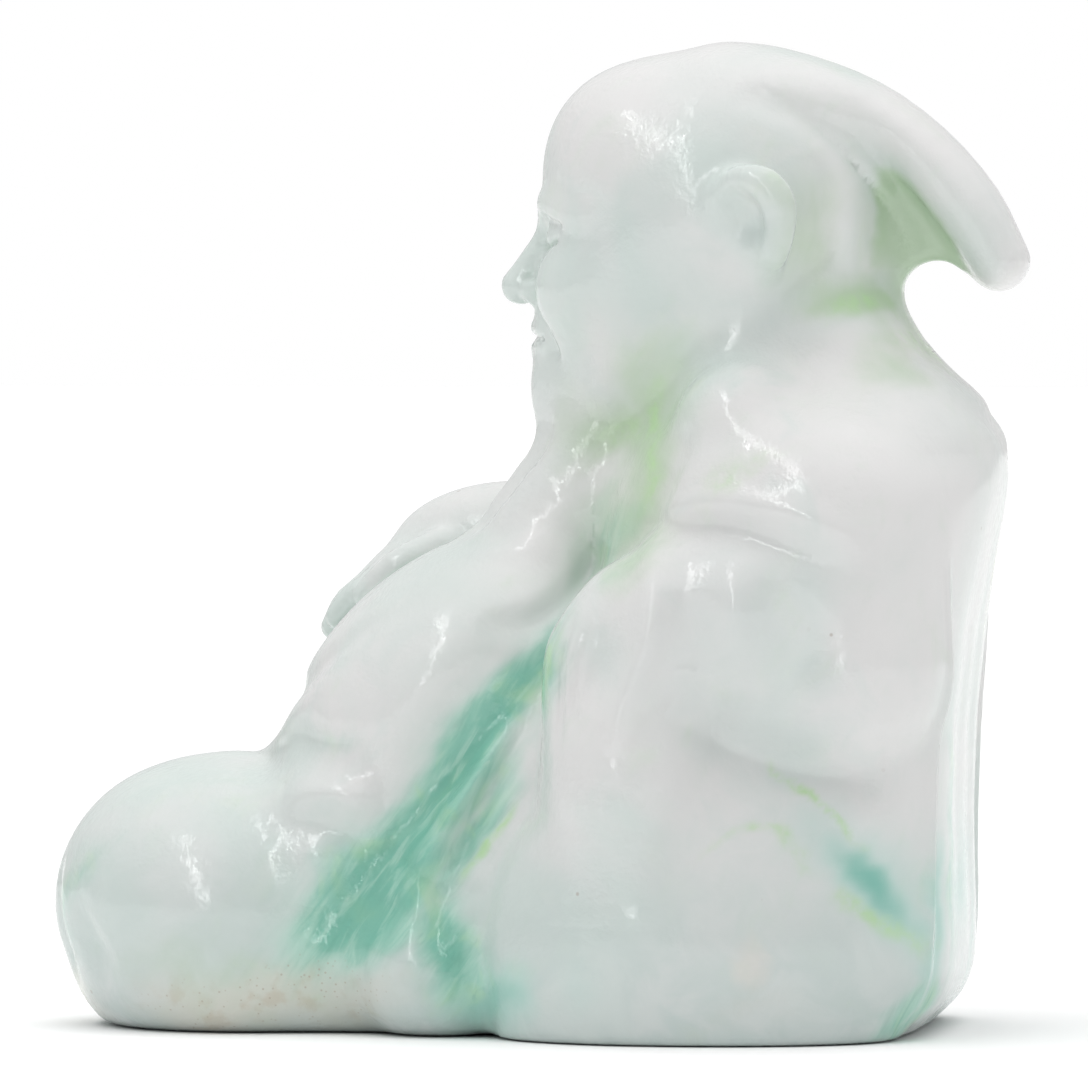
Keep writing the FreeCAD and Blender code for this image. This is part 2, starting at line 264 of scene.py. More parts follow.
# Strokes of the robe's front and of the lap, in x and z.
FRONT_STROKES = (
    (((-9.0, 27.0), (-4.0, 22.4), (0.0, 21.2), (5.0, 22.6), (9.4, 27.4)), 1.1, -0.5),
    (((-10.0, 23.6), (-4.6, 19.2), (0.0, 18.2), (4.8, 19.2), (10.0, 23.4)), 1.0, 0.4),
    (((-3.6, 12.0), (-4.6, 7.0), (-4.2, 2.6)), 1.0, -0.5),
    (((3.6, 11.0), (4.6, 6.0), (4.4, 2.4)), 1.0, -0.45),
    (((-8.2, 10.0), (-9.2, 6.0), (-8.8, 2.4)), 1.0, -0.45),
    (((8.0, 9.0), (9.0, 5.6), (8.6, 2.4)), 1.0, -0.4),
)
# Strokes of both sides of the head and of the beard, in y and z.
HEAD_STROKES = (
    (((13.0, 60.0), (17.2, 58.6), (20.4, 56.4)), 0.9, -0.6),
    (((18.0, 56.4), (19.0, 52.6), (18.4, 48.8), (16.4, 46.6)), 0.9, -0.6),
    (((15.4, 45.2), (19.6, 45.6), (23.0, 46.4)), 1.0, -0.5),
)
BEARD_STROKES = ((((5.0, 31.6), (3.0, 28.2), (0.4, 26.2), (-3.0, 26.2)), 1.0, -0.7),)


def body_field(p):
    x, y, z = p[:, 0], p[:, 1], p[:, 2]
    wide, front, back = body_wide(z), body_front(z), body_back(z)
    deep, middle = (back - front) / 2, (back + front) / 2
    power = np.where(y < middle, 2.1, np.interp(z, (26.0, 37.0), (4.4, 2.7))).astype(np.float32)
    plan = (np.abs(x / wide) ** power + np.abs((y - middle) / deep) ** power) ** (1 / power)
    d = (plan - 1.0) * np.minimum(wide, deep)
    d = blend_max(d, z - NECK_TOP, 3.0)
    for side in (1, -1):
        d = blend_min(d, ellipsoid(p, (side * 10.8, 17.6, 34.0), (6.6, 8.2, 7.0)), 3.0)
        # front of the shoulder, where the collar crosses it
        d = blend_min(d, ellipsoid(p, (side * 10.2, 14.0, 39.4), (4.4, 4.0, 3.4), 14), 1.6)
    return d


def left_sleeve_field(p):
    """Upper arm, elbow and the cuff that hangs over the knee."""
    d = limb(p, [(12.4, 20.0, 33.0), (13.2, 21.0, 23.6)], [6.4, 6.4])
    d = blend_min(d, ellipsoid(p, (12.8, 13.4, 26.6), (7.0, 9.2, 6.4), 15), 3.0)
    d = blend_min(d, ellipsoid(p, (13.6, 7.4, 23.6), (5.4, 5.3, 6.0), 10), 2.4)
    return blend_min(d, ellipsoid(p, (13.2, 7.4, 17.0), (6.2, 5.6, 8.4)), 3.0)


def right_sleeve_field(p):
    """Reaches forward over the raised knee."""
    d = limb(
        p,
        [(-12.2, 19.5, 33.4), (-13.2, 17.6, 26.4), (-12.6, 6.0, 27.2)],
        [6.4, 6.0, 5.8],
    )
    return blend_min(d, ellipsoid(p, (-11.4, -3.4, 29.9), (5.4, 8.3, 4.9)), 2.6)


def hand_field(p):
    d = ellipsoid(p, (-10.0, -10.0, 28.5), (4.0, 4.3, 2.7), 38)
    for i, (reach, drop) in enumerate(((0.0, 0.6), (0.5, 0.0), (0.45, 0.1), (-0.1, 0.8))):
        x = -12.6 + 1.7 * i
        finger = [
            (x, -11.4, 28.7 - drop * 0.4),
            (x, -13.5 - reach, 26.9 + drop * 0.3),
            (x, -14.6 - reach, 25.2 + drop),
        ]
        d = blend_min(d, limb(p, finger, [1.2, 1.1, 0.9], count=3), 0.6)
    thumb = [(-6.9, -7.8, 30.4), (-5.8, -10.4, 29.2), (-6.2, -12.4, 27.4)]
    return blend_min(d, limb(p, thumb, [1.4, 1.2, 1.0], count=3), 0.7)


def left_leg_field(p):
    d = ellipsoid(p, (11.6, 11.4, 5.6), (8.9, 14.0, 13.6), 3)
    shin = [(13.6, 8.6, 22.4), (14.9, 7.9, 18.6), (15.3, 7.6, 15.0)]
    shin += [(14.5, 7.5, 10.0), (13.4, 7.8, 5.0)]
    d = blend_min(d, limb(p, shin, [4.7, 5.1, 5.2, 5.3, 6.2], count=3), 2.2)
    shelf = [(9.4, 3.4, 19.6), (9.6, -2.6, 12.4), (9.0, -5.4, 5.0)]
    return blend_min(d, limb(p, shelf, [2.8, 3.9, 6.0], count=3), 2.0)


def right_leg_field(p):
    d = ellipsoid(p, (-11.2, 9.6, 5.8), (9.3, 16.0, 12.2), 3)
    d = blend_min(d, ellipsoid(p, (-10.8, -3.8, 13.4), (7.2, 9.6, 12.2), 10), 3.0)
    return blend_min(d, ellipsoid(p, (-9.8, -5.4, 5.0), (8.2, 10.0, 7.6)), 3.0)


def front_field(p):
    d = ellipsoid(p, (0.0, -20.05, 7.8), (12.8, 11.6, 9.5))
    d = blend_min(d, ellipsoid(p, (0.0, -23.6, 8.4), (10.8, 7.4, 8.1)), 1.2)
    d = blend_min(d, ellipsoid(p, (0.0, -18.9, 3.4), (12.2, 11.1, 6.2)), 1.6)
    d = blend_min(d, ellipsoid(p, (0.0, -9.0, 6.4), (12.6, 11.0, 9.2)), 3.0)
    # the robe's slope from the lap to the feet, on both sides
    return blend_min(d, ellipsoid(folded(p), (6.6, -10.6, 13.0), (5.4, 8.0, 5.4), 24), 2.6)


def lap_field(p):
    return ellipsoid(p, (0.0, -5.0, 21.0), (12.4, 13.4, 9.3), 40)


def head_field(p):
    q = folded(p)
    x, y, z = q[:, 0], q[:, 1], q[:, 2]
    d = ellipsoid(p, (0.0, 11.7, 51.8), (9.9, 10.6, 11.2))
    d = blend_min(d, ellipsoid(p, (0.0, 7.4, 47.4), (7.7, 7.6, 8.0)), 2.5)
    d = blend_min(d, ellipsoid(p, (0.0, 6.0, 55.4), (7.4, 5.8, 6.2)), 2.5)
    d = blend_min(d, ellipsoid(p, (0.0, 14.4, 44.2), (7.4, 8.0, 5.6)), 3.0)
    # cheeks, brow, eyes, nose, mouth and chin, symmetric about the middle
    d = blend_min(d, ellipsoid(q, (4.1, 3.1, 47.4), (2.9, 2.9, 2.9)), 1.6)
    brow = [(0.6, 0.75, 52.3), (3.2, 0.95, 52.9), (6.2, 3.4, 52.0)]
    d = blend_min(d, limb(q, brow, [0.8, 0.8, 0.6]), 1.2)
    d = blend_max(d, -ellipsoid(q, (3.1, -0.9, 50.7), (2.3, 1.9, 1.35)), 0.9)
    d = blend_min(d, ellipsoid(q, (3.15, 2.35, 50.7), (1.9, 1.75, 1.25)), 0.35)
    nose = [(0, 0.9, 51.7), (0, -1.0, 48.6), (0, -1.55, 47.6)]
    d = blend_min(d, limb(p, nose, [0.75, 1.0, 1.2]), 0.9)
    d = blend_min(d, ellipsoid(q, (1.25, -0.35, 47.2), (0.85, 1.0, 0.75)), 0.5)
    d = blend_min(d, ellipsoid(p, (0.0, 1.3, 44.3), (3.0, 1.9, 2.6)), 1.4)
    d = blend_min(d, limb(q, [(0.0, -0.25, 44.9), (2.1, 0.75, 44.5)], [0.55, 0.3]), 0.4)
    d = blend_min(d, limb(q, [(0.0, -0.1, 43.6), (1.7, 0.8, 43.9)], [0.62, 0.3]), 0.4)
    d = blend_min(d, ellipsoid(p, (0.0, 1.5, 41.3), (2.6, 2.0, 1.9)), 1.4)
    # creases of the closed lids, the mouth and beside the nose
    lid, _ = from_line(x, z, [(1.3, 50.25), (2.3, 49.85), (3.6, 49.85), (5.0, 50.5)])
    seam = 0.32 * np.exp(-((lid / 0.22) ** 2))
    fold, _ = from_line(x, z, [(1.6, 52.0), (3.2, 52.15), (5.2, 51.5)])
    seam += 0.18 * np.exp(-((fold / 0.3) ** 2))
    lips, _ = from_line(x, z, [(0.0, 44.25), (1.0, 44.3), (2.5, 44.2)])
    seam += 0.35 * np.exp(-((lips / 0.24) ** 2))
    smile, _ = from_line(x, z, [(2.1, 47.0), (3.2, 45.2), (3.5, 43.4)])
    seam += 0.28 * np.exp(-((smile / 0.5) ** 2))
    d = d + seam * (y < 6.0)
    side = np.clip((x - 1.6) / 2.0, 0.0, 1.0)
    for path, width, height in HEAD_STROKES:
        d = d - height * stroke(y, z, path, width) * side
    # behind, the skull ends in an edge over the thin wall under the cap's tail
    past_nape = np.hypot(y - NAPE_MIDDLE[0], z - NAPE_MIDDLE[1]) - NAPE_RADIUS
    under_tail = TAIL_EDGE_AWAY - TAIL_EDGE[0] * y - TAIL_EDGE[1] * z
    beyond = np.minimum(past_nape, under_tail)
    return blend_max(d, np.minimum(beyond, y - 15.0), 1.5)


def ear_field(p, side):
    """A worn ear: a C-shaped rim, open to the front, round a shallow bowl."""
    q = p * np.array([side, 1, 1], np.float32)
    rim = [
        (9.7, 13.0, 53.6),
        (10.4, 14.0, 54.3),
        (10.9, 15.6, 54.0),
        (11.1, 16.5, 52.8),
        (10.9, 16.5, 51.2),
        (10.2, 16.1, 49.8),
        (9.2, 15.6, 48.9),
    ]
    d = limb(q, rim, [0.65, 0.95, 1.15, 1.15, 1.05, 0.95, 0.8], count=3)
    d = blend_min(d, ellipsoid(q, (9.2, 14.8, 51.8), (1.5, 1.9, 2.2), 6), 1.6)
    return blend_max(d, -ellipsoid(q, (11.6, 13.5, 51.4), (2.0, 2.0, 2.3), 6), 0.8)


def tail_field(p):
    """The tail of the cap, and the thin wall between it and the nape, open as a hook."""
    path = [
        (0, 12.4, 60.0),
        (0, 17.0, 59.9),
        (0, 20.7, 58.9),
        (0, 24.4, 56.1),
        (0, 27.4, 52.6),
        (0, 29.4, 49.2),
    ]
    d = limb(p, path, [2.0, 2.05, 2.0, 2.15, 2.2, 1.95], wide=2.1, count=3)
    x, y, z = p[:, 0], p[:, 1], p[:, 2]
    reach = np.hypot(y - WALL_MIDDLE[0], z - WALL_MIDDLE[1])
    wall = np.maximum(np.abs(x) - WALL_HALF, reach - WALL_RADIUS)
    wall = np.maximum(wall, np.maximum(16.0 - y, y - 27.2))
    wall = blend_max(wall, 43.0 - z, 0.5)
    flat = p * np.array([0, 1, 1], np.float32)
    hook = limb(flat, [(0, 25.5, 46.6), (0, 26.2, 45.4), (0, 31.0, 41.4)], [2.6, 2.7, 4.6])
    wall = blend_max(wall, -hook, 0.8)
    d = blend_min(d, wall, 1.0)
    # closes the narrow end of the hollow between the tail and the skull
    return blend_min(d, limb(p, [(0, 14.6, 58.6), (0, 21.4, 54.4)], [2.7, 0.9], wide=1.9), 1.2)


def beard_field(p):
    path = [(0, 4.4, 40.0), (0, 3.2, 35.8), (0, 0.8, 31.6), (0, -0.7, 28.8)]
    d = limb(p, path, [3.2, 3.9, 4.5, 3.9], wide=1.45, count=2)
    strands = 0.14 * np.sin(p[:, 0] * 2.4 + 0.6 * np.sin(p[:, 2] * 0.5))
    return d + strands * (p[:, 1] < 4.0)


REGIONS = (
    "base",
    "torso",
    "lap",
    "left_leg",
    "right_leg",
    "front_robe",
    "left_sleeve",
    "right_sleeve",
    "right_hand",
    "beard",
    "head",
    "left_ear",
    "right_ear",
    "cap_tail",
)
BASE_TOP = 2.6


def carve(p):
    """Signed distance of the whole stone at each point, and the region each belongs to."""
    p = p.astype(np.float32)
    x, y, z = p[:, 0], p[:, 1], p[:, 2]
    own = {
        "torso": body_field(p),
        "lap": lap_field(p),
        "left_leg": where_near(p, (z < 26) & (x > -6), left_leg_field),
        "right_leg": where_near(p, (z < 34) & (x < 6), right_leg_field),
        "front_robe": where_near(p, (z < 28) & (y < 10), front_field),
        "left_sleeve": where_near(p, (z < 46) & (x > -2), left_sleeve_field),
        "right_sleeve": where_near(p, (z < 46) & (x < 2), right_sleeve_field),
        "right_hand": where_near(p, (x < 2) & (y < 2) & (z > 16) & (z < 40), hand_field),
        "beard": where_near(p, (z > 16) & (z < 52) & (y < 14), beard_field),
        "head": where_near(p, z > 32, head_field),
        "left_ear": where_near(p, (z > 42) & (x > 2), lambda q: ear_field(q, 1)),
        "right_ear": where_near(p, (z > 42) & (x < -2), lambda q: ear_field(q, -1)),
        "cap_tail": where_near(p, (z > 34) & (y > 6), tail_field),
    }
    d = blend_min(own["torso"], own["lap"], 2.0)
    d = blend_min(d, own["front_robe"], 2.2)
    d = blend_min(d, own["beard"], 2.2)
    # the deep groove from the jaw down between the sleeve and the lap
    groove = [(14.0, 9.0, 37.6), (13.6, 7.2, 34.0), (13.6, 4.4, 29.6), (14.0, 0.8, 24.8)]
    groove += [(14.4, -3.6, 19.0), (14.4, -7.8, 13.0), (14.2, -11.6, 8.2)]
    cut = limb(p, groove, [1.2, 1.9, 2.5, 3.0, 3.0, 2.6, 2.0], count=2)
    d = blend_max(d, -cut, 2.4)
    lower = np.clip((x - 4.0) / 3.0, 0.0, 1.0)
    d = blend_min(d, own["left_leg"], 1.2)
    for path, width, height in LOWER_STROKES:
        d = d - height * stroke(y, z, path, width) * lower
    d = blend_min(d, own["right_leg"], 2.0)
    d = blend_min(d, own["left_sleeve"], 1.1)
    d = blend_min(d, own["right_sleeve"], 1.4)

    near = np.clip((x - 7.0) / 3.0, 0.0, 1.0) * (z < 46)
    far = np.clip((-x - 7.0) / 3.0, 0.0, 1.0) * (z < 46)
    for path, width, height in LEFT_STROKES:
        d = d - height * stroke(y, z, path, width) * near
    for path, width, height in RIGHT_STROKES:
        d = d - height * stroke(y, z, path, width) * far
    behind = np.clip((y - 23.0) / 3.0, 0.0, 1.0)
    for path, width, height in BACK_STROKES:
        d = d - height * stroke(x, z, path, width) * behind
    ahead = np.clip((-4.0 - y) / 4.0, 0.0, 1.0)
    for path, width, height in FRONT_STROKES:
        d = d - height * stroke(x, z, path, width) * ahead
    aside = np.clip((np.abs(x) - 3.0) / 2.0, 0.0, 1.0) * (y < 8)
    for path, width, height in BEARD_STROKES:
        d = d - height * stroke(y, z, path, width) * aside

    d = blend_min(d, own["right_hand"], 0.8)
    crown = blend_min(own["head"], own["cap_tail"], 2.6)
    for ear in ("left_ear", "right_ear"):
        crown = blend_min(crown, own[ear], 1.4)
    d = blend_min(d, crown, np.interp(y, (14.0, 20.0), (4.0, 1.8)).astype(np.float32))
    d = blend_max(d, -z, FOOT_EDGE)
    own["cap_tail"] = own["cap_tail"] - TAIL_CLAIM
    region = np.stack([own[name] for name in REGIONS[1:]]).argmin(0) + 2
    region[z < BASE_TOP] = 1
    return d, region.astype(np.int8)


def stone_field(p):
    return carve(p)[0]


# ----------------------------------------------------------------------- mesher

GRID_LOW, GRID_HIGH = np.array([-22.5, -33.5, -1.6]), np.array([22.5, 33.5, 65.0])
BLOCK = 6  # grid points along each edge of a block
UNDER_SKIN = 0.35  # how deep the boundaries inside the stone stay under its skin
MOST_PUSH = 0.5  # the furthest that a vertex of them is pushed in for this


def in_chunks(work, points, size=40000):
    """Applies work to the points a chunk at a time, on all cores."""
    chunks = np.array_split(points, max(1, len(points) // size))
    with ThreadPoolExecutor() as pool:
        return list(pool.map(work, chunks))


def field_at(points):
    return np.concatenate(in_chunks(stone_field, points))


def lattice(counts):
    """The whole-number points of a grid with so many points along each axis."""
    return np.stack(np.meshgrid(*(np.arange(n) for n in counts), indexing="ij"), -1).reshape(-1, 3)


def sample(step):
    """The field and the regions on a grid. Blocks well outside the stone aren't refined."""
    counts = np.ceil((GRID_HIGH - GRID_LOW) / (step * BLOCK)).astype(int)
    grid = lattice(counts)
    middles = GRID_LOW + (grid * BLOCK + (BLOCK - 1) / 2) * step
    rough = field_at(middles)
    values = np.repeat(rough[:, None], BLOCK**3, 1).astype(np.float32)
    regions = np.zeros(values.shape, np.int8)
    margin = step * BLOCK * 1.6 + 0.8
    kept = np.nonzero(rough < margin)[0]
    points = GRID_LOW + (grid[kept][:, None, :] * BLOCK + lattice([BLOCK] * 3)[None]) * step
    found = in_chunks(carve, points.reshape(-1, 3))
    values[kept] = np.concatenate([d for d, _ in found]).reshape(len(kept), -1)
    regions[kept] = np.concatenate([r for _, r in found]).reshape(len(kept), -1)
    regions[values >= 0] = 0

    def whole(a):
        a = a.reshape(*counts, BLOCK, BLOCK, BLOCK).transpose(0, 3, 1, 4, 2, 5)
        return a.reshape(*(counts * BLOCK))

    return whole(values), whole(regions)


HALVES = (slice(0, -1), slice(1, None))


def side_by_side(regions, axis):
    """The regions of the two ends of each grid edge along an axis."""
    ends = []
    for half in HALVES:
        where = [slice(None)] * 3
        where[axis] = half
        ends.append(regions[tuple(where)])
    return ends


def next_along(spots, axis):
    """The grid points one step further along an axis."""
    further = spots.copy()
    further[:, axis] += 1
    return further


def cells_round(spots, axis):
    """The four cells round the grid edge that starts at each point, in the order of a ring."""
    u, v = (i for i in range(3) if i != axis)
    for du, dv in ((1, 1), (0, 1), (0, 0), (1, 0)):
        cell = spots.copy()
        cell[:, u] -= du
        cell[:, v] -= dv
        yield cell


def drop_slivers(values, regions, rounds=4):
    """Gives a point to its neighbour's region where their boundary would lie in the skin."""
    solid = (values < 0).astype(np.int8)
    total = sum(solid[i, j, k] for i in HALVES for j in HALVES for k in HALVES)
    crossed = (total > 0) & (total < 8)
    for axis in [0, 1, 2] * rounds:
        first, second = side_by_side(regions, axis)
        spots = np.argwhere((first != second) & (first > 0) & (second > 0))
        thin = np.ones(len(spots), bool)
        for cell in cells_round(spots, axis):
            thin &= crossed[tuple(cell.T)]
        spots = spots[thin]
        others = next_along(spots, axis)
        outer = (values[tuple(spots.T)] > values[tuple(others.T)])[:, None]
        shallow, deep = np.where(outer, spots, others), np.where(outer, others, spots)
        regions[tuple(shallow.T)] = regions[tuple(deep.T)]


def surface_net(values, regions, step):
    """One vertex in each cell that a boundary crosses, and quads from side to side.

    Each quad goes with the region behind it and the region in front of it, 0 outside."""
    shape = np.array(values.shape)
    cells, points, quads, sides = [], [], [], []
    for axis in range(3):
        first, second = side_by_side(regions, axis)
        crossed = np.argwhere(first != second)
        u, v = (i for i in range(3) if i != axis)
        inside = (crossed[:, u] > 0) & (crossed[:, v] > 0)
        inside &= (crossed[:, u] < shape[u] - 1) & (crossed[:, v] < shape[v] - 1)
        crossed = crossed[inside]
        other = next_along(crossed, axis)
        va, vb = values[tuple(crossed.T)], values[tuple(other.T)]
        skin = (va < 0) != (vb < 0)
        spot = crossed.astype(np.float64)
        spot[:, axis] += np.where(skin, va / np.where(skin, va - vb, 1.0), 0.5)
        corner_ids = []
        for cell in cells_round(crossed, axis):
            index = (cell[:, 0] * shape[1] + cell[:, 1]) * shape[2] + cell[:, 2]
            corner_ids.append(index)
            cells.append(index)
            points.append(spot)
        ring = np.stack(corner_ids, 1)
        quads.append(ring[:, ::-1] if axis == 1 else ring)
        sides.append(np.stack([regions[tuple(crossed.T)], regions[tuple(other.T)]], 1))
    cells, points = np.concatenate(cells), np.concatenate(points)
    used, index = np.unique(cells, return_inverse=True)
    counts = np.bincount(index)
    vertices = np.stack([np.bincount(index, points[:, i]) / counts for i in range(3)], 1)
    faces = np.searchsorted(used, np.concatenate(quads))
    return GRID_LOW + vertices * step, faces, np.concatenate(sides)


def slope(p, reach=0.06):
    """Gradient of the field from four samples round each point."""
    total = np.zeros_like(p)
    for corner in ((1, 1, 1), (1, -1, -1), (-1, 1, -1), (-1, -1, 1)):
        corner = np.array(corner, float)
        total += corner * field_at(p + corner * reach)[:, None]
    return total / (4 * reach)


def settle(vertices, faces, skin):
    """Draws the skin onto the true surface, and evens out the boundaries inside.

    Returns the vertices, and the normal of the surface at each that is in the skin."""
    on_skin = np.zeros(len(vertices), bool)
    on_skin[faces[skin]] = True
    outer = vertices[on_skin]
    for _ in range(3):
        g = slope(outer)
        square = np.maximum((g**2).sum(1), 0.05)
        move = -(field_at(outer) / square)[:, None] * g
        size = np.linalg.norm(move, axis=1, keepdims=True)
        outer = outer + move * np.minimum(1.0, 0.5 * STEP / np.maximum(size, 1e-9))
    vertices[on_skin] = outer
    caps = faces[~skin]
    for _ in range(6):
        middles = vertices[caps].mean(1)
        total, count = np.zeros_like(vertices), np.zeros(len(vertices))
        for corner in range(4):
            np.add.at(total, caps[:, corner], middles)
            np.add.at(count, caps[:, corner], 1)
        free = ~on_skin & (count > 0)
        vertices[free] = total[free] / count[free][:, None]
    # the boundaries inside stay a little way under the skin
    inner = vertices[free]
    too_high = field_at(inner) + UNDER_SKIN
    g = slope(inner)
    g /= np.maximum(np.linalg.norm(g, axis=1, keepdims=True), 0.3)
    vertices[free] = inner - g * np.clip(too_high, 0.0, MOST_PUSH)[:, None]
    # an inner quad with three corners in the skin is split from its fourth, and stays inside
    in_skin = on_skin[faces]
    leaning = np.nonzero(~skin & (in_skin.sum(1) == 3))[0]
    turn = in_skin[leaning].argmin(1)[:, None] + np.arange(4)
    faces[leaning] = np.take_along_axis(faces[leaning], turn % 4, 1)
    normals = np.zeros_like(vertices)
    g = slope(outer)
    normals[on_skin] = g / np.linalg.norm(g, axis=1, keepdims=True)
    return vertices, normals


values, regions = sample(STEP)
drop_slivers(values, regions)
vertices, faces, sides = surface_net(values, regions, STEP)
skin = (sides == 0).any(1)
vertices, normals = settle(vertices, faces, skin)
print("sculpted", len(vertices), "vertices", len(faces), "faces")
